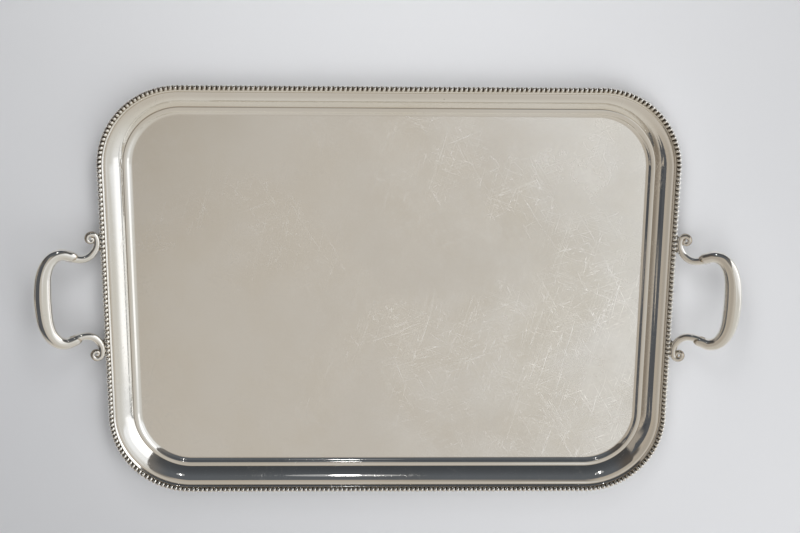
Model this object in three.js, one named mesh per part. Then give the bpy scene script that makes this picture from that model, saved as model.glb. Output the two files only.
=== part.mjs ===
// Two-handled rectangular serving tray in silver, with a beaded border.
//
// Frame: millimetres, +Z up. The tray lies flat on its well, X runs from handle to handle,
// and the origin is the centre of the underside. "Inset" is the distance in from the outer
// edge of the border, and it is the same all the way round, so every line of the rim is a
// rectangle whose corners are concentric with the border's.

import * as THREE from 'three';

// ---------------------------------------------------------------- driving dimensions

const BORDER_LENGTH = 558;        // across the border, along X
const BORDER_WIDTH = 410;         // across the border, along Y
const CORNER_RADIUS = 79.4;       // outer edge of the border in plan

const SHEET = 1.5;                // thickness of the sheet that the tray is raised from
const WELL_INSET = 30.3;          // edge of the flat well
const VALLEY_INSET = 22.2;        // quirk between the inner moulding and the side
const FLANGE_INSET = 6.7;         // where the rounded side has become level
const SHEET_EDGE_INSET = 0.8;     // the sheet stops just inside the border's outer face
const FLANGE_RISE = 14.8;         // level flange above the well
const VALLEY_RISE = 3.4;          // quirk above the well
const MOULDING_RISE = 3.8;        // crest of the inner moulding above the well

const BEAD_CENTRE_INSET = 2.55;   // border: axis of the row of beads
const BEAD_CENTRE_RISE = 18.3;    // above the well
const BEAD_RADIUS = 2.55;
const BORDER_BACK_INSET = 0.5;    // outer face of the strip under the beads
const JOINT_GAP = 0.3;            // left between pieces that are soldered together

const HANDLE_RAKE = THREE.MathUtils.degToRad(20);   // the handles rise outwards
const HANDLE_BASE_Z = 19.4;       // handle plane at the border's outer edge
const SHOULDER_OUT = 28.7;        // where the grip's thick end gives way to the scroll
const VOLUTE_OUT = 8.7;           // centre of each volute, out from the border
const VOLUTE_SIDE = 58.0;         // and along the border from the handle's middle
const SHOE_SIDE = 53.0;           // middle of each solder shoe along the border
const SHOE_LENGTH = 17;

const CORNER_STEPS = 12;          // facets round each corner
const SIDE_STEPS = 10;            // facets up the rounded side
const SCROLL_SIDES = 10;          // facets round a scroll arm
const GRIP_SIDES = 16;            // facets round a grip

// ---------------------------------------------------------------- materials

const silver = (color, roughness) => new THREE.MeshStandardMaterial({ color, roughness, metalness: 1 });
const sheetSilver = () => silver(0xc9c3b8, 0.16);
const castSilver = () => silver(0xcfc9bc, 0.14);
const beadSilver = () => silver(0xbfb7a6, 0.22);

// ---------------------------------------------------------------- shared shapes

// The outline at a given inset: four concentric corner arcs joined by straight sides,
// anticlockwise from the +X side, each corner with its own centre.
function outline(inset) {
  const radius = CORNER_RADIUS - inset;
  const centreX = BORDER_LENGTH / 2 - CORNER_RADIUS;
  const centreY = BORDER_WIDTH / 2 - CORNER_RADIUS;
  const points = [];
  for (let corner = 0; corner < 4; corner++) {
    const signX = corner === 0 || corner === 3 ? 1 : -1;
    const signY = corner < 2 ? 1 : -1;
    for (let step = 0; step <= CORNER_STEPS; step++) {
      const angle = (corner + step / CORNER_STEPS) * Math.PI / 2;
      points.push(new THREE.Vector2(
        signX * centreX + radius * Math.cos(angle),
        signY * centreY + radius * Math.sin(angle),
      ));
    }
  }
  return points;
}

// A closed skin over a list of rings of equal length. Each ring is a list of Vector3, and
// the first and last rings are closed with flat caps.
function loft(rings) {
  const size = rings[0].length;
  const positions = rings.flat().flatMap((p) => [p.x, p.y, p.z]);
  const index = [];
  for (let r = 0; r + 1 < rings.length; r++) {
    for (let i = 0; i < size; i++) {
      const a = r * size + i;
      const b = r * size + (i + 1) % size;
      index.push(a, b, b + size, a, b + size, a + size);
    }
  }
  const last = (rings.length - 1) * size;
  for (const [a, b, c] of capFaces(rings[0])) index.push(c, b, a);
  for (const [a, b, c] of capFaces(rings[rings.length - 1])) index.push(last + a, last + b, last + c);
  const geometry = new THREE.BufferGeometry();
  geometry.setAttribute('position', new THREE.Float32BufferAttribute(positions, 3));
  geometry.setIndex(index);
  geometry.computeVertexNormals();
  return geometry;
}

// Triangles over a flat ring, in the ring's own winding.
function capFaces(ring) {
  const origin = ring[0];
  const along = ring[1].clone().sub(origin).normalize();
  const normal = new THREE.Vector3();
  for (let i = 1; i + 1 < ring.length; i++) {
    const edge = ring[i].clone().sub(origin);
    normal.add(edge.cross(ring[i + 1].clone().sub(origin)));
  }
  normal.normalize();
  const across = normal.clone().cross(along);
  const flat = ring.map((p) => {
    const offset = p.clone().sub(origin);
    return new THREE.Vector2(offset.dot(along), offset.dot(across));
  });
  return THREE.ShapeUtils.triangulateShape(flat, []);
}

function mesh(name, geometry, material) {
  const result = new THREE.Mesh(geometry, material);
  result.name = name;
  return result;
}

// ---------------------------------------------------------------- tray body

// The rounded side: level at the flange and steepest at the quirk.
function sideRise(inset) {
  const fall = Math.PI / 2 * (inset - FLANGE_INSET) / (VALLEY_INSET - FLANGE_INSET);
  return VALLEY_RISE + (FLANGE_RISE - VALLEY_RISE) * Math.cos(fall);
}

function sideSlope(inset) {
  const turn = Math.PI / 2 / (VALLEY_INSET - FLANGE_INSET);
  return (FLANGE_RISE - VALLEY_RISE) * turn * Math.sin(turn * (inset - FLANGE_INSET));
}

// The upper face from the well outwards, as [inset, height] pairs.
function upperFace() {
  const innerMoulding = [
    [WELL_INSET + 6, 0],
    [WELL_INSET, 0],
    [WELL_INSET - 0.6, 0.25],
    [WELL_INSET - 1.7, 1.1],
    [WELL_INSET - 3.3, 2.7],
    [WELL_INSET - 4.2, 3.4],
    [WELL_INSET - 4.9, MOULDING_RISE - 0.1],
    [WELL_INSET - 5.6, MOULDING_RISE],
    [VALLEY_INSET + 1, MOULDING_RISE - 0.2],
  ];
  const side = [];
  for (let step = 0; step <= SIDE_STEPS; step++) {
    const inset = VALLEY_INSET + (FLANGE_INSET - VALLEY_INSET) * step / SIDE_STEPS;
    side.push([inset, sideRise(inset)]);
  }
  return [...innerMoulding, ...side, [SHEET_EDGE_INSET, FLANGE_RISE]]
    .map(([inset, rise]) => [inset, SHEET + rise]);
}

// The underside from the edge back to the well: the side's curve moved one sheet thickness
// along its normal, then a slope under the inner moulding and the flat foot of the well.
function underFace() {
  const points = [[SHEET_EDGE_INSET, FLANGE_RISE]];
  for (let step = 0; step <= SIDE_STEPS; step++) {
    const inset = FLANGE_INSET + (VALLEY_INSET - FLANGE_INSET) * step / SIDE_STEPS;
    const tilt = Math.atan(sideSlope(inset));
    points.push([inset - SHEET * Math.sin(tilt), SHEET + sideRise(inset) - SHEET * Math.cos(tilt)]);
  }
  points.push([WELL_INSET - 5.4, MOULDING_RISE - 0.4]);
  points.push([WELL_INSET - 0.9, 0]);
  points.push([WELL_INSET + 6, 0]);
  return points;
}

function trayBody() {
  const rings = [...upperFace(), ...underFace()].map(
    ([inset, z]) => outline(inset).map((p) => new THREE.Vector3(p.x, p.y, z)),
  );
  rings.reverse();
  return mesh('tray_body', loft(rings), sheetSilver());
}

// ---------------------------------------------------------------- beaded border

// Cross-section of a length of border, x = inset and y = height: a flat strip with a small
// inner fillet, and the row of beads, here a plain half-round, on top of it.
function borderSection() {
  const base = SHEET + FLANGE_RISE + JOINT_GAP;
  const shape = new THREE.Shape();
  shape.moveTo(BORDER_BACK_INSET, base);
  shape.lineTo(FLANGE_INSET - 0.1, base);
  shape.lineTo(FLANGE_INSET - 0.1, base + 0.4);
  shape.lineTo(BEAD_CENTRE_INSET + BEAD_RADIUS + 0.3, base + 2);
  const height = SHEET + BEAD_CENTRE_RISE;
  shape.absarc(BEAD_CENTRE_INSET, height, BEAD_RADIUS, -0.35, Math.PI + 0.6, false);
  shape.closePath();
  return shape;
}

// One soldered length of border that follows a path laid anticlockwise along the outer edge.
function borderLength(name, path, steps) {
  const section = borderSection();
  const geometry = new THREE.ExtrudeGeometry(section, { extrudePath: path, steps, curveSegments: 9 });
  return mesh(name, geometry, beadSilver());
}

// A path in the horizontal plane whose sweep keeps the section's x pointing inwards and its
// y pointing up.
class BorderPath extends THREE.Curve {
  constructor(pointAt, tangentAt) {
    super();
    this.pointAt = pointAt;
    this.tangentAt = tangentAt;
  }

  getPoint(t) {
    return this.pointAt(t);
  }

  getPointAt(t) {
    return this.pointAt(t);
  }

  getSpacedPoints(divisions) {
    return Array.from({ length: divisions + 1 }, (_, i) => this.pointAt(i / divisions));
  }

  computeFrenetFrames(segments) {
    const frames = { tangents: [], normals: [], binormals: [] };
    for (let i = 0; i <= segments; i++) {
      const tangent = this.tangentAt(i / segments);
      const up = new THREE.Vector3(0, 0, 1);
      frames.tangents.push(tangent);
      frames.normals.push(up.clone().cross(tangent));
      frames.binormals.push(up);
    }
    return frames;
  }
}

function beadedBorder() {
  const border = new THREE.Group();
  const centreX = BORDER_LENGTH / 2 - CORNER_RADIUS;
  const centreY = BORDER_WIDTH / 2 - CORNER_RADIUS;
  const gapAngle = JOINT_GAP / CORNER_RADIUS;
  const sideNames = ['right', 'rear', 'left', 'front'];
  const cornerNames = ['rear_right', 'rear_left', 'front_left', 'front_right'];
  for (let quarter = 0; quarter < 4; quarter++) {
    const turn = quarter * Math.PI / 2;
    const outward = new THREE.Vector3(Math.cos(turn), Math.sin(turn), 0);
    const along = new THREE.Vector3(-Math.sin(turn), Math.cos(turn), 0);
    const half = quarter % 2 === 0 ? centreY : centreX;
    const reach = (quarter % 2 === 0 ? centreX : centreY) + CORNER_RADIUS;
    const side = new BorderPath(
      (t) => outward.clone().multiplyScalar(reach).addScaledVector(along, half * (2 * t - 1)),
      () => along.clone(),
    );
    border.add(borderLength(`border_${sideNames[quarter]}`, side, 1));

    const cornerCentre = outward.clone().multiplyScalar(reach - CORNER_RADIUS).addScaledVector(along, half);
    const angleAt = (t) => turn + gapAngle + (Math.PI / 2 - 2 * gapAngle) * t;
    const corner = new BorderPath(
      (t) => new THREE.Vector3(
        cornerCentre.x + CORNER_RADIUS * Math.cos(angleAt(t)),
        cornerCentre.y + CORNER_RADIUS * Math.sin(angleAt(t)),
        0,
      ),
      (t) => new THREE.Vector3(-Math.sin(angleAt(t)), Math.cos(angleAt(t)), 0),
    );
    border.add(borderLength(`border_${cornerNames[quarter]}`, corner, CORNER_STEPS));
  }
  return border;
}

// ---------------------------------------------------------------- handles

// A bar with an elliptical section along a curve in the local XY plane. widthAt gives its
// size in the plane and depthAt its size across the plane, for t from 0 to 1.
function bar(curve, steps, sides, widthAt, depthAt) {
  const rings = [];
  for (let step = 0; step <= steps; step++) {
    const t = step / steps;
    const centre = curve.getPointAt(t);
    const tangent = curve.getTangentAt(t);
    const across = new THREE.Vector3(-tangent.y, tangent.x, 0).normalize();
    const ring = [];
    for (let side = 0; side < sides; side++) {
      const angle = 2 * Math.PI * (side + 0.5) / sides;
      const point = centre.clone().addScaledVector(across, widthAt(t) / 2 * Math.cos(angle));
      point.z += depthAt(t) / 2 * Math.sin(angle);
      ring.push(point);
    }
    rings.push(ring);
  }
  return loft(rings);
}

// The grip's centreline in the handle plane, from one shoulder to the other: x is out from
// the border, y is along it.
function gripCurve() {
  const half = [
    [SHOULDER_OUT + JOINT_GAP, 42.4],
    [36, 44.2],
    [43.8, 42.2],
    [50.4, 35.4],
    [54.9, 24.5],
    [56.8, 8],
  ];
  const rear = half.map(([x, y]) => new THREE.Vector3(x, y, 0));
  const front = half.map(([x, y]) => new THREE.Vector3(x, -y, 0)).reverse();
  return new THREE.CatmullRomCurve3([...rear, ...front], false, 'centripetal');
}

// The scroll's centreline for the rear arm: from the grip's shoulder, back to the border,
// and once round the volute.
function scrollCurve(side) {
  const arm = [
    [SHOULDER_OUT, 40.6],
    [24, 39.3],
    [19, 38.6],
    [14, 39.3],
    [9.6, 41.8],
    [6.3, 45.8],
    [4.3, 50.8],
  ];
  const turns = [
    [180, 5.1],
    [135, 4.9],
    [90, 4.7],
    [45, 4.4],
    [0, 4.1],
    [-45, 3.7],
    [-90, 3.0],
    [-135, 2.1],
    [-180, 1.3],
  ];
  const volute = turns.map(([degrees, radius]) => {
    const angle = THREE.MathUtils.degToRad(degrees);
    return [VOLUTE_OUT + radius * Math.cos(angle), VOLUTE_SIDE + radius * Math.sin(angle)];
  });
  const points = [...arm, ...volute].map(([x, y]) => new THREE.Vector3(x, side * y, 0));
  return new THREE.CatmullRomCurve3(points, false, 'centripetal');
}

// The grip is thickest in the middle and swells back a little at its two shoulders.
const gripWidth = (t) => 10.8 + 5.0 * Math.sin(Math.PI * t) ** 1.4;
const gripDepth = (t) => 9.6 + 3.2 * Math.sin(Math.PI * t) ** 1.4;

// A scroll arm tapers from the shoulder, to the contact with the border, to the volute's eye.
function scrollWidth(t) {
  const contact = 0.5;
  if (t < contact) return 7.3 - 2.0 * (t / contact) ** 2;
  return 5.3 - 2.8 * Math.min(1, (t - contact) / 0.3) ** 0.8;
}
const scrollDepth = (t) => 7.8 - 3.8 * t;

// The shoe that joins a scroll to the border: a tapered block under the arm, in plan a
// trapezium with its long side against the rim.
function solderShoe(side) {
  const half = SHOE_LENGTH / 2;
  const shape = new THREE.Shape();
  shape.moveTo(-0.1, SHOE_SIDE - half);
  shape.lineTo(4.6, SHOE_SIDE - half + 4);
  shape.lineTo(4.6, SHOE_SIDE + half - 5);
  shape.lineTo(-0.1, SHOE_SIDE + half);
  shape.closePath();
  const geometry = new THREE.ExtrudeGeometry(shape, { depth: 2.6, bevelEnabled: false });
  if (side < 0) geometry.rotateX(Math.PI).translate(0, 0, 2.6);
  return geometry;
}

function handle(name, turn) {
  const raked = new THREE.Group();
  raked.position.set(BORDER_LENGTH / 2, 0, HANDLE_BASE_Z);
  raked.rotation.y = -HANDLE_RAKE;
  raked.add(mesh(`${name}_grip`, bar(gripCurve(), 26, GRIP_SIDES, gripWidth, gripDepth), castSilver()));

  const level = new THREE.Group();
  level.position.set(BORDER_LENGTH / 2, 0, SHEET + FLANGE_RISE - 2.9);
  for (const side of [1, -1]) {
    const end = side * Math.cos(turn) > 0 ? 'rear' : 'front';
    const scroll = bar(scrollCurve(side), 34, SCROLL_SIDES, scrollWidth, scrollDepth);
    raked.add(mesh(`${name}_scroll_${end}`, scroll, castSilver()));
    level.add(mesh(`${name}_shoe_${end}`, solderShoe(side), castSilver()));
  }
  const whole = new THREE.Group();
  whole.rotation.z = turn;
  whole.add(raked, level);
  return whole;
}

// ---------------------------------------------------------------- assembly

const tray = new THREE.Group();
tray.name = 'two_handled_tray';
tray.add(trayBody());
tray.add(beadedBorder());
tray.add(handle('right_handle', 0));
tray.add(handle('left_handle', Math.PI));

export default tray;
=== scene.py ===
"""Looks of a two-handled silver tray with a beaded border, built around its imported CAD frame.

The tray is one sheet of silver with a flat well, a small moulding, a swept side and a level
flange. Eight lengths of beading are soldered round the flange, and each handle is a grip with
a scrolled arm at each end, carried on two small shoes. The tray's own sizes are millimetres,
turned into metres as each mesh is made, and the studio's are metres. +X runs to the right
handle, +Y to the rear.
"""

import math

import bmesh
import bpy
import numpy as np
from mathutils import Matrix, Vector


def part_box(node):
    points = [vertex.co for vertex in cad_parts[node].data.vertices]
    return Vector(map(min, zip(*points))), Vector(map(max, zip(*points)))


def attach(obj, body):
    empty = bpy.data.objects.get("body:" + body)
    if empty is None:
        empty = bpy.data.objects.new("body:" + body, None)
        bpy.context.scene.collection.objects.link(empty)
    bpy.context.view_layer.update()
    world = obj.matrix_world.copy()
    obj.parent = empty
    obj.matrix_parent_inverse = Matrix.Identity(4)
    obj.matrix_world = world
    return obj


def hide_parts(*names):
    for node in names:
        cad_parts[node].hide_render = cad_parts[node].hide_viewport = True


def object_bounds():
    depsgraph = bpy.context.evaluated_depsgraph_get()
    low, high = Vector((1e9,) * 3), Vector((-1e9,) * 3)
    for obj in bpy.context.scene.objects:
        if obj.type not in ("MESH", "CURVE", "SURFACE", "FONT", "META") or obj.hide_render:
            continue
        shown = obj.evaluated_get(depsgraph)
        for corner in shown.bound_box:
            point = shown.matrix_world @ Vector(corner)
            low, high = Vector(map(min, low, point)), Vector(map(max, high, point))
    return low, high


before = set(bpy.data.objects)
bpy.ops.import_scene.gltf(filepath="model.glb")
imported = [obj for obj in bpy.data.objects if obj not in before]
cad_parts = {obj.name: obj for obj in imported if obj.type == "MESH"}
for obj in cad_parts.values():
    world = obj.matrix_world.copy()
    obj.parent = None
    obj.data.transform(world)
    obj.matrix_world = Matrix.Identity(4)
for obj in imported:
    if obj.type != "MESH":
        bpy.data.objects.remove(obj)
cad_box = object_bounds()

MM = 0.001

# The tray's outline. An inset is measured in from the border's outer edge, and a rise up from the
# top of the well. The outer sizes come from the frame.
EDGE_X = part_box("border_right")[1][0] / MM
EDGE_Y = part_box("border_rear")[1][1] / MM
CORNER_RADIUS = 79.4
SHEET = 1.5
FLANGE_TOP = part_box("tray_body")[1][2] / MM
SHEET_EDGE_INSET = EDGE_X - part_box("tray_body")[1][0] / MM
SIDE_TOP_INSET = 6.7
SIDE_FOOT_INSET = 22.2
SIDE_FOOT_RISE = 3.4
WELL_INSET = 30.3
FLAT_INSET = 36.3

# The beading: 394 beads in all.
BEAD_INSET = 2.55
BEAD_HEIGHT = 19.8
BEAD_RADIUS = 2.5
NECK = 0.3  # of the beads' thickness
BEADS_LONG = 88
BEADS_SHORT = 55
BEADS_CORNER = 27
STRIP_TOP = 18.5
STRIP_FOOT = FLANGE_TOP - 0.05
OXIDE_AND_SHADE_FADE = 0.35  # how softly the dark oxide and painted shade between the beads end, of their thickness

# The handles, in their own raked plane: x runs out from the border, y along it.
HANDLE_RAKE = math.radians(20)
HANDLE_BASE = 19.4
HANDLE_PLACE = Matrix.Translation((EDGE_X * MM, 0, HANDLE_BASE * MM))
HANDLE_MATRIX = HANDLE_PLACE @ Matrix.Rotation(-HANDLE_RAKE, 4, "Y")
SHOULDER = 5.2  # length of the round end where the grip overlaps an arm
ARM_END = (6.6, 7.0)  # width and depth of an arm there
GRIP_END = (11.0, 9.6)  # width and depth of the grip there
GRIP_SWELL = (6.4, 3.2)  # and how much it gains by its middle
ARM_DEPTH = 7.8  # where it leaves the grip
ARM_THINNING = 3.2  # how much of that it loses by its end
EYE_RISE = 1.6  # how far the middle of the volute swells again
VOLUTE_CENTRE = (7.9, 58.0)

# The shoes: each is a crowned pad, thickest at its middle.
SHOE_END_TOP = 2.6  # height at its ends
SHOE_CROWN = 2.9  # how much higher its middle is
SHOE_END_OUT = 0.4  # how far its ends stand out
SHOE_END_LIFT = 0.8  # how far the foot of its ends rises

# How finely each is meshed.
SIDE_STEPS = 44
EDGE_STEPS = 8
BEAD_STEPS = 14
BEAD_SIDES = 22
SHOULDER_STEPS = 10
GRIP_SIDES = 40
ARM_SIDES = 28
SHOE_STEPS = 24


# ---------------------------------------------------------------- mesh helpers

def smooth_path(points, steps):
    """A centripetal Catmull-Rom curve through the points, with steps pieces from each to the next."""
    pts = np.array(points, float)
    pts = np.vstack([2 * pts[0] - pts[1], pts, 2 * pts[-1] - pts[-2]])
    curve = []
    for a, b, c, d in zip(pts[:-3], pts[1:-2], pts[2:-1], pts[3:]):
        t1 = np.linalg.norm(b - a) ** 0.5
        t2 = t1 + np.linalg.norm(c - b) ** 0.5
        t3 = t2 + np.linalg.norm(d - c) ** 0.5
        for t in np.linspace(t1, t2, steps, endpoint=False):
            ab = a + (b - a) * t / t1
            bc = b + (c - b) * (t - t1) / (t2 - t1)
            cd = c + (d - c) * (t - t2) / (t3 - t2)
            abc = ab + (bc - ab) * t / t2
            bcd = bc + (cd - bc) * (t - t1) / (t3 - t1)
            curve.append(abc + (bcd - abc) * (t - t1) / (t2 - t1))
    curve.append(pts[-2])
    return np.array(curve)


def rounded(corners, steps=5):
    """A closed outline with its corners rounded: each corner is (x, y, cut back by)."""
    out = []
    count = len(corners)
    for i, (x, y, cut) in enumerate(corners):
        here = np.array((x, y), float)
        back = np.array(corners[i - 1][:2], float) - here
        ahead = np.array(corners[(i + 1) % count][:2], float) - here
        start = here + back / np.linalg.norm(back) * cut
        end = here + ahead / np.linalg.norm(ahead) * cut
        for t in np.linspace(0, 1, steps + 1):
            out.append((1 - t) ** 2 * start + 2 * t * (1 - t) * here + t * t * end)
    return np.array(out)


class Shell:
    """The vertices and faces of one piece, gathered from closed lofts, and two marks on its vertices.

    One mark is how much dark oxide and painted shade is laid on there, the other how much the surface
    is scratched and dulled.
    """

    def __init__(self):
        self.points = []
        self.faces = []
        self.oxide_and_shade = []
        self.worn = []

    def loft(self, rows, oxide_and_shade, worn=0.0):
        """Joins closed rings of points into a tube, and closes both its ends with a fan."""
        rows = np.asarray(rows, float)
        oxide_and_shade = np.broadcast_to(oxide_and_shade, rows.shape[:2])
        worn = np.broadcast_to(worn, rows.shape[:2])
        base = len(self.points)
        count, size = rows.shape[:2]
        self.points.extend(rows.reshape(-1, 3))
        self.oxide_and_shade.extend(oxide_and_shade.reshape(-1))
        self.worn.extend(worn.reshape(-1))
        for i in range(count - 1):
            for j in range(size):
                k = (j + 1) % size
                low = base + i * size
                self.faces.append((low + j, low + k, low + size + k, low + size + j))
        for row, first in ((rows[0], base), (rows[-1], base + (count - 1) * size)):
            centre = len(self.points)
            self.points.append(row.mean(axis=0))
            self.oxide_and_shade.append(self.oxide_and_shade[first])
            self.worn.append(self.worn[first])
            for j in range(size):
                self.faces.append((centre, first + (j + 1) % size, first + j))

    def build(self, name, sharp_degrees=50):
        """Makes the mesh object, in metres, with outward faces and both marks as attributes."""
        mesh = bpy.data.meshes.new(name)
        points = [tuple(p * MM) for p in self.points]
        mesh.from_pydata(points, [], self.faces)
        for mark, values in (("oxide_and_shade", self.oxide_and_shade), ("worn", self.worn)):
            layer = mesh.attributes.new(mark, "FLOAT", "POINT")
            layer.data.foreach_set("value", np.array(values, np.float32))
        work = bmesh.new()
        work.from_mesh(mesh)
        bmesh.ops.recalc_face_normals(work, faces=work.faces)
        work.to_mesh(mesh)
        work.free()
        mesh.shade_smooth()
        mesh.set_sharp_from_angle(angle=math.radians(sharp_degrees))
        piece = bpy.data.objects.new(name, mesh)
        bpy.context.collection.objects.link(piece)
        return piece


def smoothstep(low, high, value):
    """0 below low, 1 above high, and a smooth rise between them."""
    t = np.clip((value - low) / (high - low), 0, 1)
    return t * t * (3 - 2 * t)


# ---------------------------------------------------------------- the tray's sheet

def rim_stations(straight_steps, corner_steps):
    """Stations round the tray, each a point of the corners' centre line and the outward direction."""
    stations = []
    half_x = EDGE_X - CORNER_RADIUS
    half_y = EDGE_Y - CORNER_RADIUS
    next_centres = [(-half_x, half_y), (-half_x, -half_y), (half_x, -half_y), (half_x, half_y)]
    for quarter in range(4):
        turn = quarter * math.pi / 2
        sign_x = 1 if quarter in (0, 3) else -1
        sign_y = 1 if quarter in (0, 1) else -1
        centre = np.array((sign_x * half_x, sign_y * half_y))
        for step in range(corner_steps + 1):
            angle = turn + math.pi / 2 * step / corner_steps
            stations.append((centre, np.array((math.cos(angle), math.sin(angle)))))
        ahead = np.array(next_centres[quarter])
        outward = np.array((math.cos(turn + math.pi / 2), math.sin(turn + math.pi / 2)))
        for step in range(1, straight_steps):
            stations.append((centre + (ahead - centre) * step / straight_steps, outward))
    return stations


# The section of the moulding round the well, up to the foot of the side: inset and rise.
MOULDING = [
    (WELL_INSET + 0.2, 0.0), (30.0, 0.14), (29.4, 0.45), (28.7, 0.88), (28.1, 1.3), (27.5, 1.85),
    (26.9, 2.45), (26.4, 2.93), (25.9, 3.25), (25.2, 3.46), (24.4, 3.61), (23.6, 3.74), (22.9, 3.78),
    (22.55, 3.66), (SIDE_FOOT_INSET, SIDE_FOOT_RISE),
]
# The moulding's hollow back: inset, height and how dark it is made.
MOULDING_BACK = [
    (WELL_INSET - 5.4, 3.2, 0.2), (WELL_INSET - 1.2, 0.15, 0.2), (WELL_INSET - 0.6, 0.0, 0.1),
    (FLAT_INSET, 0.0, 0.0),
]
# Where the sheet is darkened along its creases: inset, half width and strength. The line at the top of
# the side, by the strip, is painted shade; those in the quirk and at the well's edge are oxide and
# painted shade.
OXIDE_AND_SHADE_LINES = [(SIDE_FOOT_INSET, 0.5, 0.15), (SIDE_TOP_INSET, 0.45, 0.45), (WELL_INSET, 0.35, 0.12)]


def sheet_profile():
    """The sheet's section from the well out over its edge and back below: (inset, height, and how dark
    it is made).
    """
    upper = [(FLAT_INSET, 0.0), (33.0, 0.0), (31.0, 0.0)]
    upper.extend(smooth_path(MOULDING, 6))
    turn = math.pi / 2 / (SIDE_FOOT_INSET - SIDE_TOP_INSET)
    drop = FLANGE_TOP - SHEET - SIDE_FOOT_RISE
    side = []
    for inset in np.linspace(SIDE_FOOT_INSET, SIDE_TOP_INSET, SIDE_STEPS + 1)[1:]:
        side.append((inset, SIDE_FOOT_RISE + drop * math.cos(turn * (inset - SIDE_TOP_INSET))))
    upper.extend(side)
    upper.extend([(5.0, FLANGE_TOP - SHEET), (2.5, FLANGE_TOP - SHEET)])
    rows = []
    for inset, rise in upper:
        oxide_and_shade = 0.0
        for line, width, strength in OXIDE_AND_SHADE_LINES:
            oxide_and_shade += strength * math.exp(-((inset - line) / width) ** 2)
        rows.append((inset, SHEET + rise, min(1, oxide_and_shade)))
    edge = SHEET / 2
    for step in range(EDGE_STEPS + 1):
        angle = math.pi / 2 - math.pi * step / EDGE_STEPS
        inset = SHEET_EDGE_INSET + edge - edge * math.cos(angle)
        rows.append((inset, FLANGE_TOP - edge + edge * math.sin(angle), 0))
    for inset, rise in reversed(side):
        slope = drop * turn * math.sin(turn * (inset - SIDE_TOP_INSET))
        shift = SHEET / math.hypot(1, slope)
        rows.append((inset - slope * shift, SHEET + rise - shift, 0.1))
    rows.extend(MOULDING_BACK)
    return rows


def make_sheet():
    """The tray's body: its section carried round the outline as rings, and closed across the well."""
    stations = rim_stations(straight_steps=60, corner_steps=48)
    centres = np.array([s[0] for s in stations])
    outward = np.array([s[1] for s in stations])
    rings = []
    oxide_and_shade_rows = []
    worn = []
    for inset, height, oxide_and_shade in sheet_profile():
        flat = centres + outward * (CORNER_RADIUS - inset)
        rings.append(np.column_stack([flat, np.full(len(flat), height)]))
        oxide_and_shade_rows.append(np.full(len(flat), oxide_and_shade))
        worn.append(np.full(len(flat), float(inset > WELL_INSET)))
    shrink = (0.02, 0.2, 0.4, 0.6, 0.8)  # the rings inside the flat well, as parts of its first
    inner_top = [rings[0] * (s, s, 1) for s in shrink]
    inner_below = [rings[-1] * (s, s, 1) for s in reversed(shrink)]
    clean = [np.zeros(len(stations))] * len(shrink)
    dull = [np.ones(len(stations))] * len(shrink)
    shell = Shell()
    shell.loft(inner_top + rings + inner_below, clean + oxide_and_shade_rows + clean, dull + worn + dull)
    return shell.build("tray_sheet", sharp_degrees=40)


# ---------------------------------------------------------------- the beaded border

# The strip's section: inset, height and how much each corner is cut back.
STRIP_SECTION = rounded([
    (0.55, STRIP_FOOT, 0.2), (6.75, STRIP_FOOT, 0.15), (6.7, 16.8, 0.2), (5.25, STRIP_TOP - 0.05, 0.3),
    (4.0, STRIP_TOP, 0.3), (1.0, STRIP_TOP, 0.3), (0.45, STRIP_TOP - 0.6, 0.25),
])


def border_path(quarter, corner, samples):
    """Points along one length of the border, at fractions of it, with their outward directions.

    A corner turns about its own centre, and a straight length joins two corners. Both lie on the
    line of the corners' centres, so the border itself is CORNER_RADIUS further out.
    """
    turn = quarter * math.pi / 2
    half = (EDGE_X - CORNER_RADIUS, EDGE_Y - CORNER_RADIUS)
    sign_x = 1 if quarter in (0, 3) else -1
    sign_y = 1 if quarter in (0, 1) else -1
    centre = np.array((sign_x * half[0], sign_y * half[1]))
    if corner:
        angles = turn + np.asarray(samples) * math.pi / 2
        outward = np.column_stack([np.cos(angles), np.sin(angles)])
        return np.broadcast_to(centre, outward.shape), outward
    along = np.array((-math.sin(turn), math.cos(turn)))
    outward = np.array((math.cos(turn), math.sin(turn)))
    length = 2 * half[1] if quarter % 2 == 0 else 2 * half[0]
    start = centre - along * length
    points = start + np.outer(np.asarray(samples), along * length)
    return points, np.broadcast_to(outward, points.shape)


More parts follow.
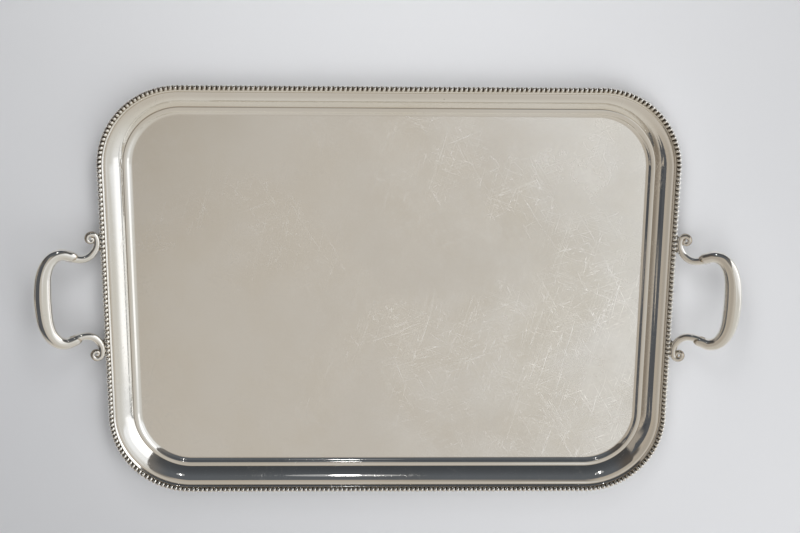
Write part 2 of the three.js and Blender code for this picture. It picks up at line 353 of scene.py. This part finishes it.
def make_border(name, quarter, corner, beads, oxide_and_shade_reach):
    """One length of border: a moulded strip with a string of beads set into its top.

    Dark oxide and painted shade fill the gaps between the beads, up to where each has swollen to the
    given fraction of its full thickness.
    """
    shell = Shell()
    strip_steps = 36 if corner else 12
    base, outward = border_path(quarter, corner, np.linspace(0, 1, strip_steps + 1))
    rows = []
    for point, out in zip(base, outward):
        flat = point + np.outer(CORNER_RADIUS - STRIP_SECTION[:, 0], out)
        rows.append(np.column_stack([flat, STRIP_SECTION[:, 1]]))
    inset, height = STRIP_SECTION.T
    # painted shade, with some oxide, darkens the strip's top under the beads, where it shows between
    # them
    shade_under_beads = 0.9 * smoothstep(18.2, 18.45, height) * (1 - smoothstep(5.0, 5.3, inset))
    shell.loft(rows, shade_under_beads)

    fractions = []
    swell = []
    for bead in range(beads):
        for step in range(BEAD_STEPS):
            angle = -math.pi / 2 + math.pi * step / BEAD_STEPS
            fractions.append((bead + 0.5 + 0.5 * math.sin(angle)) / beads)
            swell.append(math.cos(angle))
    fractions.append(1.0)
    swell.append(0.0)
    swell = np.maximum(np.array(swell), NECK)
    angles = np.linspace(0, 2 * math.pi, BEAD_SIDES, endpoint=False)
    base, outward = border_path(quarter, corner, fractions)
    rows = []
    oxide_and_shade_rows = []
    for point, out, size in zip(base, outward, swell):
        across = BEAD_RADIUS * size * np.cos(angles)
        rise = BEAD_RADIUS * size * np.sin(angles)
        flat = point + np.outer(CORNER_RADIUS - BEAD_INSET + across, out)
        rows.append(np.column_stack([flat, BEAD_HEIGHT + rise]))
        # dark oxide and painted shade fill the gaps between the beads
        gap_oxide_and_shade = 1 - smoothstep(oxide_and_shade_reach - OXIDE_AND_SHADE_FADE, oxide_and_shade_reach, size)
        # each bead's underside is darkened as painted shade
        shade_beneath_bead = 0.7 * (1 - smoothstep(-1.6, -0.5, rise))
        oxide_and_shade_rows.append(np.maximum(gap_oxide_and_shade, shade_beneath_bead))
    shell.loft(rows, np.array(oxide_and_shade_rows))
    return shell.build(name, sharp_degrees=60)


# ---------------------------------------------------------------- the handles

def bar(shell, path, width, depth, oxide_and_shade, sides):
    """Adds a bar with an oval section along a path in the handle's plane."""
    path = np.asarray(path)
    tangent = np.gradient(path, axis=0)
    tangent /= np.linalg.norm(tangent, axis=1)[:, None]
    across = np.column_stack([-tangent[:, 1], tangent[:, 0]])
    angles = np.linspace(0, 2 * math.pi, sides, endpoint=False)
    rows = []
    for point, side, w, d in zip(path, across, width, depth):
        flat = point + np.outer(np.cos(angles) * w / 2, side)
        rows.append(np.column_stack([flat, np.sin(angles) * d / 2]))
    shell.loft(rows, oxide_and_shade)


def place_handle(shell, left):
    """Moves a shell from the handle's plane to the tray, or to the tray's left end."""
    matrix = HANDLE_MATRIX
    if left:
        matrix = Matrix.Rotation(math.pi, 4, "Z") @ matrix
    turned = np.array(matrix.to_3x3())
    offset = np.array(matrix.translation) / MM
    shell.points = list(np.array(shell.points) @ turned.T + offset)


# Half of the grip's path, from a shoulder nearly to its middle.
GRIP_HALF = [(29.0, 42.4), (36.0, 44.2), (43.6, 42.1), (50.0, 35.2), (54.2, 24.3), (56.0, 8.0)]


def make_grip(name, left):
    """The grip: a swelling D with a rounded shoulder where each arm leaves it."""
    path = smooth_path(GRIP_HALF + [(x, -y) for x, y in reversed(GRIP_HALF)], 16)
    travelled = np.concatenate([[0], np.cumsum(np.linalg.norm(np.diff(path, axis=0), axis=1))])
    t = travelled / travelled[-1]
    bulge = np.sin(math.pi * t) ** 1.4
    width = GRIP_END[0] + GRIP_SWELL[0] * bulge
    depth = GRIP_END[1] + GRIP_SWELL[1] * bulge
    ends = []
    for end, inward in ((0, 1), (-1, -1)):
        leave = path[end] - path[end + inward]
        leave /= np.linalg.norm(leave)
        inner = np.array((0, -1.0)) if path[end][1] > 0 else np.array((0, 1.0))
        rows = []
        for step in range(1, SHOULDER_STEPS + 1):
            angle = math.pi / 2 * step / SHOULDER_STEPS
            shrink = math.cos(angle)
            w = ARM_END[0] + (width[end] - ARM_END[0]) * shrink
            d = ARM_END[1] + (depth[end] - ARM_END[1]) * shrink
            centre = path[end] + leave * SHOULDER * math.sin(angle) + inner * (width[end] - w) / 2
            rows.append((centre, w, d))
        ends.append(rows)
    before = ends[0][::-1]
    path = np.vstack([[c for c, w, d in before], path, [c for c, w, d in ends[1]]])
    width = np.concatenate([[w for c, w, d in before], width, [w for c, w, d in ends[1]]])
    depth = np.concatenate([[d for c, w, d in before], depth, [d for c, w, d in ends[1]]])
    rank = np.arange(len(path))
    from_end = np.minimum(rank, len(path) - 1 - rank)
    # darkened towards each end, where an arm runs under the grip: oxide and painted shade
    oxide_and_shade = np.repeat((0.7 * (1 - smoothstep(0, 7, from_end)))[:, None], GRIP_SIDES, axis=1)
    shell = Shell()
    bar(shell, path, width, depth, oxide_and_shade, GRIP_SIDES)
    place_handle(shell, left)
    return shell.build(name)


# An arm: its path from the grip to the volute, then the volute's radius at each eighth of its turn,
# and the width at even steps along all of it.
ARM_PATH = [
    (32.0, 41.4), (28.7, 40.6), (24.0, 39.3), (19.0, 38.5), (13.8, 39.0), (9.0, 41.5), (5.4, 45.6),
    (3.1, 50.8),
]
VOLUTE_RADII = [4.9, 4.6, 4.4, 4.2, 4.0, 3.6, 3.0, 2.1, 1.1]
ARM_WIDTHS = [7.6, 7.9, 7.9, 7.8, 7.7, 7.5, 7.2, 6.8, 6.2, 5.7, 5.2, 4.8, 4.5, 4.3, 4.1, 3.8, 3.5, 3.6]


def make_scroll(name, left, mirrored):
    """A scrolled arm or its mirror image: it leaves the grip, turns along the border and curls up.

    Dark oxide and painted shade lie inside the curl and where the grip overlaps the arm.
    """
    curl = []
    for eighth, radius in enumerate(VOLUTE_RADII):
        angle = math.radians(180 - 45 * eighth)
        x = VOLUTE_CENTRE[0] + radius * math.cos(angle)
        y = VOLUTE_CENTRE[1] + radius * math.sin(angle)
        curl.append((x, y))
    path = smooth_path(ARM_PATH + curl + [(VOLUTE_CENTRE[0] + 0.1, VOLUTE_CENTRE[1] + 0.2)], 12)
    t = np.arange(len(path)) / (len(path) - 1)
    width = np.interp(t, np.linspace(0, 1, len(ARM_WIDTHS)), ARM_WIDTHS)
    eye = smoothstep(0.94, 1.0, t)
    depth = ARM_DEPTH - ARM_THINNING * t + EYE_RISE * eye
    if mirrored:
        path = path * (1, -1)
    angles = np.linspace(0, 2 * math.pi, ARM_SIDES, endpoint=False)
    inside = np.clip(-np.cos(angles) if mirrored else np.cos(angles), 0, 1)
    curl_oxide_and_shade = 0.95 * np.outer(smoothstep(0.5, 0.62, t), inside ** 2)
    grip_overlap_oxide_and_shade = np.outer(0.6 * (1 - smoothstep(0.05, 0.1, t)), np.ones(ARM_SIDES))
    shell = Shell()
    bar(shell, path, width, depth, np.clip(curl_oxide_and_shade + grip_overlap_oxide_and_shade, 0, 1), ARM_SIDES)
    place_handle(shell, left)
    return shell.build(name)


def make_shoe(name, left):
    """A small pad of silver that carries an arm's back on the tray's edge, in the CAD shoe's box."""
    low, high = (np.array(corner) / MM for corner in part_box(name))
    half_length = (high[1] - low[1]) / 2
    middle = (high[1] + low[1]) / 2
    reach = high[0] - low[0]
    rows = []
    for s in np.linspace(-1, 1, SHOE_STEPS + 1):
        swell = max(0.08, math.sqrt(max(0.0, 1 - abs(s) ** 2.4)))
        foot = low[2] + SHOE_END_LIFT * (1 - swell)
        top = low[2] + SHOE_END_TOP + SHOE_CROWN * swell
        out = SHOE_END_OUT + (reach - SHOE_END_OUT) * swell
        corners = [(0, foot, 0.1), (0, top, 0.1), (out, top - 0.3, 0.35 * out)]
        corners.append((out * 0.8, foot + 0.3, 0.3 * out))
        section = rounded(corners, 4)
        x = high[0] - section[:, 0] if left else low[0] + section[:, 0]
        y = np.full(len(section), middle + s * half_length)
        rows.append(np.column_stack([x, y, section[:, 1]]))
    shell = Shell()
    # the whole pad is darkened: oxide and painted shade in the narrow joint between the arm and the
    # border
    shell.loft(rows, 0.8)
    return shell.build(name + "_pad")


# ---------------------------------------------------------------- materials

SILVER_TINT = (0.955, 0.94, 0.905)
TONED_TINT = tuple(c * k for c, k in zip(SILVER_TINT, (0.975, 0.96, 0.93)))
GOLDEN = (0.8, 0.62, 0.38)
# the dark colour laid where a mesh is marked: oxide, and painted shade in creases, gaps and joints
OXIDE_AND_SHADE_COLOUR = (0.055, 0.042, 0.03)

# Scratches, in layers: direction in radians, cycles a metre along it, how many times finer the noise
# is across it, and line width.
SCRATCH_LAYERS = [
    (0.35, 5.0, 24.0, 0.005),
    (1.3, 4.0, 28.0, 0.006),
    (2.1, 5.0, 26.0, 0.005),
    (2.8, 6.0, 24.0, 0.004),
]

# The well is rubbed little at the left and fully at the right: where that rise starts and ends, in
# metres along X.
RUBBED_FROM = -0.2
RUBBED_TO = 0.26


def srgb(red, green, blue):
    """A display colour, 0 to 255 and beyond for a bright light, as linear light."""
    levels = []
    for c in (red, green, blue):
        levels.append(c / 255 / 12.92 if c < 10.3 else ((c / 255 + 0.055) / 1.055) ** 2.4)
    return tuple(levels)


class Nodes:
    """Adds nodes to a node tree and links them."""

    def __init__(self, tree):
        self.tree = tree
        tree.nodes.clear()

    def add(self, kind, inputs=(), **settings):
        """A node of that kind: inputs are (socket, value or output) pairs, settings its properties."""
        node = self.tree.nodes.new(kind)
        for key, value in settings.items():
            setattr(node, key, value)
        for socket, value in inputs:
            if isinstance(value, bpy.types.NodeSocket):
                self.tree.links.new(value, node.inputs[socket])
            else:
                node.inputs[socket].default_value = value
        return node

    def math(self, operation, a, b=0.0, clamp=False):
        """A math node's result."""
        inputs = [(0, a), (1, b)]
        return self.add("ShaderNodeMath", inputs, operation=operation, use_clamp=clamp).outputs[0]

    def span(self, value, low, high, to_low=0.0, to_high=1.0):
        """A smooth step from to_low to to_high as value goes from low to high."""
        inputs = [("Value", value), ("From Min", low), ("From Max", high)]
        inputs.extend([("To Min", to_low), ("To Max", to_high)])
        return self.add("ShaderNodeMapRange", inputs, interpolation_type="SMOOTHSTEP").outputs[0]

    def mix(self, factor, a, b):
        """Colour a turned into colour b by a factor."""
        node = self.add("ShaderNodeMix", [(0, factor)], data_type="RGBA")
        for socket, value in ((6, a), (7, b)):
            if isinstance(value, bpy.types.NodeSocket):
                self.tree.links.new(value, node.inputs[socket])
            else:
                node.inputs[socket].default_value = (*value, 1)
        return node.outputs[2]

    def noise(self, where, scale, detail=3.0, roughness=0.55):
        """Noise at that scale, in cycles a metre."""
        inputs = [("Vector", where), ("Scale", scale), ("Detail", detail), ("Roughness", roughness)]
        return self.add("ShaderNodeTexNoise", inputs).outputs[0]

    def scratches(self, where, turn, scale, fineness, width):
        """Thin lines about one direction: noise drawn out along it, kept only where it is middling."""
        size = (1 / scale, 1 / scale / fineness, 1 / scale)
        inputs = [("Vector", where), ("Rotation", (0, 0, turn)), ("Scale", size)]
        drawn = self.add("ShaderNodeMapping", inputs, vector_type="TEXTURE").outputs[0]
        value = self.noise(drawn, 1.0, 2.0, 0.6)
        away = self.math("ABSOLUTE", self.math("SUBTRACT", value, 0.5))
        return self.span(away, 0.0, width, 1.0, 0.0)


def silver(name, roughness, haze, scratch, oxide_and_shade_strength, worn_roughness=0.0, specks=False):
    """Old polished silver: fine scratches, soft haze, faint toning, and a dark colour where its mesh is
    marked with oxide and painted shade.

    Where a mesh is marked as worn it is duller by worn_roughness, and the more so the further to the
    right it is clouded by old hair scratches, which scatter light instead of mirroring it.
    """
    material = bpy.data.materials.new(name)
    material.use_nodes = True
    n = Nodes(material.node_tree)
    where = n.add("ShaderNodeTexCoord").outputs["Object"]
    oxide_and_shade_mask = n.add("ShaderNodeAttribute", attribute_name="oxide_and_shade").outputs["Fac"]
    worn = n.add("ShaderNodeAttribute", attribute_name="worn").outputs["Fac"]
    cloud = n.noise(where, 9.0, 4.0)
    smear = n.noise(where, 55.0, 4.0)

    # scratches, in patches, and how rubbed the well is
    lines = None
    for turn, scale, fineness, width in SCRATCH_LAYERS:
        layer = n.scratches(where, turn, scale, fineness, width)
        lines = layer if lines is None else n.math("MAXIMUM", lines, layer)
    patchy = n.span(n.noise(where, 8.0, 2.0), 0.34, 0.74)
    lines = n.math("MULTIPLY", lines, patchy)
    along = n.add("ShaderNodeSeparateXYZ", [(0, where)]).outputs[0]
    rubbed = n.math("MULTIPLY", n.span(along, RUBBED_FROM, RUBBED_TO, 0.12, 1.0), worn)

    # colour: cloudy toning, a golden margin to each darkened place, then the dark colour itself, oxide
    # and painted shade, and rare pits
    toned = n.mix(n.span(cloud, 0.35, 0.7), SILVER_TINT, TONED_TINT)
    broken = n.span(n.noise(where, 420.0, 3.0), 0.3, 0.6, 0.65, 1.0)
    dark = n.math("MULTIPLY", n.math("MULTIPLY", oxide_and_shade_mask, broken), oxide_and_shade_strength, clamp=True)
    if specks:
        pits = n.add("ShaderNodeTexVoronoi", [("Vector", where), ("Scale", 30.0)])
        rare = n.span(pits.outputs["Color"], 0.62, 0.66)
        pit = n.math("MULTIPLY", n.span(pits.outputs["Distance"], 0.012, 0.03, 0.6, 0.0), rare)
        dark = n.math("MAXIMUM", dark, pit)
    golden = n.mix(n.span(oxide_and_shade_mask, 0.02, 0.5, 0.0, 0.55), toned, GOLDEN)
    colour = n.mix(dark, golden, OXIDE_AND_SHADE_COLOUR)

    # roughness: haze in clouds and smears, more where worn, scratched or darkened
    rough = n.span(cloud, 0.3, 0.7, roughness, roughness + haze)
    rough = n.math("ADD", rough, n.math("MULTIPLY", n.span(smear, 0.45, 0.7), haze * 0.5))
    rough = n.math("ADD", rough, n.math("MULTIPLY", worn, worn_roughness))
    rough = n.math("ADD", rough, n.math("MULTIPLY", lines, 0.25 * scratch))
    rough = n.math("ADD", rough, n.math("MULTIPLY", dark, 0.35), clamp=True)

    # how far it scatters light instead of mirroring it
    clouded = n.span(n.noise(where, 6.0, 8.0, 0.7), 0.34, 0.74, 0.05, 0.4)
    milky = n.math("MULTIPLY", clouded, rubbed)
    scuffs = n.math("MULTIPLY", lines, n.math("ADD", n.math("MULTIPLY", rubbed, 0.42), 0.1))
    milky = n.math("ADD", milky, n.math("MULTIPLY", scuffs, scratch))
    metal = n.math("SUBTRACT", 1.0, milky, clamp=True)

    # relief: the scratches cut in a little, over a faint unevenness
    height = n.math("ADD", n.math("MULTIPLY", lines, -0.5 * scratch), n.math("MULTIPLY", smear, 0.1))
    bump = n.add("ShaderNodeBump", [("Strength", 0.1), ("Distance", 0.0002), ("Height", height)])
    inputs = [("Base Color", colour), ("Metallic", metal), ("Roughness", rough)]
    inputs.append(("Normal", bump.outputs[0]))
    shader = n.add("ShaderNodeBsdfPrincipled", inputs)
    n.add("ShaderNodeOutputMaterial", [("Surface", shader.outputs[0])])
    return material


def paper(name):
    """The pale floor: smooth paper with a very faint unevenness."""
    material = bpy.data.materials.new(name)
    material.use_nodes = True
    n = Nodes(material.node_tree)
    where = n.add("ShaderNodeTexCoord").outputs["Object"]
    cloud = n.noise(where, 3.0, 3.0)
    colour = n.mix(cloud, (0.83, 0.835, 0.85), (0.86, 0.863, 0.875))
    shader = n.add("ShaderNodeBsdfPrincipled", [("Base Color", colour), ("Roughness", 0.9)])
    n.add("ShaderNodeOutputMaterial", [("Surface", shader.outputs[0])])
    return material


# ---------------------------------------------------------------- the studio

# What the silver mirrors, as soft-edged patches over a warm wall, later ones over earlier ones. Each
# is a display colour, a range of azimuth with the widths of its two soft edges, and a range of fall
# with the widths of its own. Angles are degrees: azimuth from +X towards +Y, fall from straight up.
WALL = (170, 160, 146)
PATCHES = [
    # the ceiling over the tray, and its duller side at the left
    ((176, 169, 157), (-180, 180), (0, 0), (-5, 16), (1, 16)),
    ((163, 155, 143), (-200, -118), (30, 40), (9, 42), (9, 10)),
    # the lit room at the front
    ((185, 178, 167), (-130, -20), (50, 30), (-5, 180), (1, 1)),
    ((203, 198, 187), (-150, -20), (50, 20), (78, 180), (50, 1)),
    # a pale wall at the front right
    ((198, 195, 187), (-62, 40), (50, 3), (15, 180), (14, 1)),
    ((224, 223, 219), (-40, 40), (40, 3), (66, 180), (40, 1)),
    ((209, 207, 202), (-40, 20), (9, 10), (8, 25), (7, 7)),
    # the soft white panel at the right, with its brightest parts and a thin dark line at their foot
    ((236, 236, 234), (-12, 39), (8, 2), (34, 180), (34, 1)),
    ((262, 261, 258), (-19, 38), (3, 2), (72, 85.2), (16, 1)),
    ((330, 329, 326), (4, 38), (28, 2), (68, 85.2), (18, 1)),
    ((140, 139, 136), (-30, 40), (20, 4), (85.2, 86.2), (1, 1)),
    ((234, 233, 228), (-30, 40), (20, 4), (86.2, 180), (1, 1)),
    # the dark rear of the room
    ((112, 108, 103), (39, 78), (2, 30), (17, 180), (14, 1)),
    ((88, 91, 94), (56, 150), (34, 4), (29, 180), (3, 1)),
    ((84, 78, 72), (128, 150), (22, 4), (31, 180), (14, 1)),
    ((56, 58, 60), (44, 152), (20, 4), (68, 180), (36, 1)),
    ((84, 80, 76), (148, 163), (4, 10), (44, 80), (16, 2)),
    ((70, 72, 75), (150, 194), (6, 4), (66, 79), (4, 2)),
    # the far wall low at the left
    ((150, 142, 131), (150, 178), (4, 16), (66, 180), (14, 1)),
    ((126, 116, 103), (170, 232), (10, 30), (83, 180), (5, 1)),
]

# Dark cards near the tray, for its mirrored surfaces only: centre and size.
FLAGS = [((-0.67, -0.15, 0.42), (0.56, 0.8)), ((-1.42, -0.75, 0.42), (0.94, 0.66))]
FLAG_DARK = (66, 68, 71)
FLAG_PALE = (92, 93, 95)


def make_world():
    """The studio by direction, for the camera and for mirrored surfaces: it doesn't light matt ones."""
    world = bpy.data.worlds.new("studio")
    bpy.context.scene.world = world
    world.use_nodes = True
    world.cycles_visibility.diffuse = False
    n = Nodes(world.node_tree)
    direction = n.add("ShaderNodeTexCoord").outputs["Generated"]
    x, y, z = n.add("ShaderNodeSeparateXYZ", [(0, direction)]).outputs
    degree = 180 / math.pi
    fall = n.math("MULTIPLY", n.math("ARCCOSINE", z), degree)
    light = reflected(WALL)
    for colour, azimuths, azimuth_edges, falls, fall_edges in PATCHES:
        mask = edge_pair(n, fall, falls, fall_edges)
        half = (azimuths[1] - azimuths[0]) / 2
        if half < 180:
            middle = math.radians(sum(azimuths) / 2)
            cosine = math.cos(middle)
            sine = math.sin(middle)
            along = n.math("ADD", n.math("MULTIPLY", x, cosine), n.math("MULTIPLY", y, sine))
            across = n.math("SUBTRACT", n.math("MULTIPLY", y, cosine), n.math("MULTIPLY", x, sine))
            swing = n.math("MULTIPLY", n.math("ARCTAN2", across, along), degree)
            mask = n.math("MULTIPLY", mask, edge_pair(n, swing, (-half, half), azimuth_edges))
        light = n.mix(mask, light, reflected(colour))
    background = n.add("ShaderNodeBackground", [("Color", light), ("Strength", 1.0)])
    n.add("ShaderNodeOutputWorld", [("Surface", background.outputs[0])])


def reflected(colour):
    """The light that silver mirrors as a display colour."""
    return tuple(c / t for c, t in zip(srgb(*colour), SILVER_TINT))


def edge_pair(n, value, ends, widths):
    """1 between two ends and 0 beyond them, each end a soft edge of its own width.

    An edge is never quite without width, so that a width of 0 is a clean step.
    """
    sliver = 0.01
    rise = n.span(value, ends[0] - widths[0] / 2 - sliver, ends[0] + widths[0] / 2)
    drop = n.span(value, ends[1] - widths[1] / 2 - sliver, ends[1] + widths[1] / 2, 1.0, 0.0)
    return n.math("MULTIPLY", rise, drop)


def make_flags():
    """Dark cards near the tray, seen only in its mirrored surfaces."""
    for number, (centre, size) in enumerate(FLAGS):
        mesh = bpy.data.meshes.new("flag")
        x, y = size[0] / 2, size[1] / 2
        mesh.from_pydata([(-x, -y, 0), (x, -y, 0), (x, y, 0), (-x, y, 0)], [], [(0, 1, 2, 3)])
        material = bpy.data.materials.new("flag_cloth")
        material.use_nodes = True
        n = Nodes(material.node_tree)
        where = n.add("ShaderNodeTexCoord").outputs["Object"]
        folds = n.mix(n.noise(where, 6.0, 2.0), reflected(FLAG_DARK), reflected(FLAG_PALE))
        glow = n.add("ShaderNodeEmission", [("Color", folds), ("Strength", 1.0)])
        n.add("ShaderNodeOutputMaterial", [("Surface", glow.outputs[0])])
        mesh.materials.append(material)
        flag = bpy.data.objects.new("flag_" + str(number), mesh)
        flag.location = centre
        flag.visible_camera = False
        flag.visible_diffuse = False
        flag.visible_shadow = False
        bpy.context.collection.objects.link(flag)


# Soft lights for the floor: name, place, width and power.
SOFT_LIGHTS = [
    ("ceiling", (0.0, 0.0, 4.0), 8.0, 100),
    ("overhead", (0.0, 0.3, 1.1), 1.4, 3.0),
    ("front_right", (0.6, -0.5, 0.7), 1.0, 3.7),
    ("rear", (0.0, 0.55, 0.5), 0.3, 1.1),
]
LIGHT_TINT = (0.985, 0.99, 1.0)
# One small lamp and the glow round it, which only the silver shows: name, radius and power.
LAMP_PLACE = (-0.075, 1.41, 1.04)
LAMPS = [("bare_lamp", 0.04, 1.1), ("lamp_glow", 0.15, 0.25)]
FLOOR_RADIUS = 6.0
FLOOR_GAP = 0.0004


def make_floor():
    """A wide disc of paper just under the tray."""
    work = bmesh.new()
    bmesh.ops.create_circle(work, cap_ends=True, segments=96, radius=FLOOR_RADIUS)
    mesh = bpy.data.meshes.new("floor")
    work.to_mesh(mesh)
    work.free()
    floor = bpy.data.objects.new("floor", mesh)
    floor.location = (0, 0, cad_box[0][2] - FLOOR_GAP)
    bpy.context.collection.objects.link(floor)
    mesh.materials.append(paper("paper"))


def make_lights():
    """Soft lights for the floor, which the silver doesn't mirror, and the small lamp that it does."""
    for name, place, size, power in SOFT_LIGHTS:
        light = bpy.data.lights.new(name, "AREA")
        light.shape = "DISK"
        light.size = size
        light.energy = power
        light.color = LIGHT_TINT
        lamp = bpy.data.objects.new(name, light)
        lamp.location = place
        lamp.rotation_euler = (-Vector(place)).to_track_quat("-Z", "Y").to_euler()
        lamp.visible_glossy = False
        lamp.visible_camera = False
        bpy.context.collection.objects.link(lamp)
    for name, radius, power in LAMPS:
        light = bpy.data.lights.new(name, "POINT")
        light.shadow_soft_size = radius
        light.energy = power
        lamp = bpy.data.objects.new(name, light)
        lamp.location = LAMP_PLACE
        lamp.visible_diffuse = False
        bpy.context.collection.objects.link(lamp)


CAMERA_PLACE = (-0.0223, 0.3239, 1.1965)
CAMERA_TURN = (-0.2440, -0.0264, 0.0030)
LENS = 56.25  # millimetres, on a 36 mm sensor


def make_camera():
    """Over the tray and a little to its rear, looking down and slightly forward."""
    data = bpy.data.cameras.new("camera")
    data.lens = LENS
    data.sensor_width = 36
    camera = bpy.data.objects.new("camera", data)
    camera.location = CAMERA_PLACE
    camera.rotation_mode = "ZYX"
    camera.rotation_euler = CAMERA_TURN
    bpy.context.collection.objects.link(camera)
    bpy.context.scene.camera = camera


# ---------------------------------------------------------------- assembly

def finish_piece(piece, node, material):
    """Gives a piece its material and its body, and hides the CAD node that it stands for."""
    piece.data.materials.append(material)
    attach(piece, "root")
    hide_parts(node)


sheet_silver = silver("sheet_silver", 0.02, 0.02, 1.0, 0.8, worn_roughness=0.09, specks=True)
bead_silver = silver("bead_silver", 0.03, 0.03, 0.3, 1.0)
cast_silver = silver("cast_silver", 0.02, 0.02, 0.4, 0.85)

finish_piece(make_sheet(), "tray_body", sheet_silver)

# The border, anticlockwise: node, quarter turn, whether it is a corner, beads, and how far the dark
# oxide and painted shade reach into the gaps between the beads, which differs from side to side as
# painted shade.
BORDER_LENGTHS = [
    ("border_right", 0, False, BEADS_SHORT, 0.64),
    ("border_rear_right", 0, True, BEADS_CORNER, 0.94),
    ("border_rear", 1, False, BEADS_LONG, 0.97),
    ("border_rear_left", 1, True, BEADS_CORNER, 0.94),
    ("border_left", 2, False, BEADS_SHORT, 0.64),
    ("border_front_left", 2, True, BEADS_CORNER, 0.8),
    ("border_front", 3, False, BEADS_LONG, 0.85),
    ("border_front_right", 3, True, BEADS_CORNER, 0.8),
]
for node, quarter, corner, beads, oxide_and_shade_reach in BORDER_LENGTHS:
    border = make_border(node + "_beading", quarter, corner, beads, oxide_and_shade_reach)
    finish_piece(border, node, bead_silver)

# The left handle is the right one turned half round, so its front and rear arms change places.
for side in ("right", "left"):
    left = side == "left"
    grip = side + "_handle_grip"
    finish_piece(make_grip(grip + "_casting", left), grip, cast_silver)
    for end in ("rear", "front"):
        scroll = side + "_handle_scroll_" + end
        mirrored = (end == "front") != left
        arm = make_scroll(scroll + "_casting", left, mirrored)
        finish_piece(arm, scroll, cast_silver)
        shoe = side + "_handle_shoe_" + end
        finish_piece(make_shoe(shoe, left), shoe, cast_silver)

make_world()
make_flags()
make_floor()
make_lights()
make_camera()
bpy.context.scene.view_settings.view_transform = "Standard"
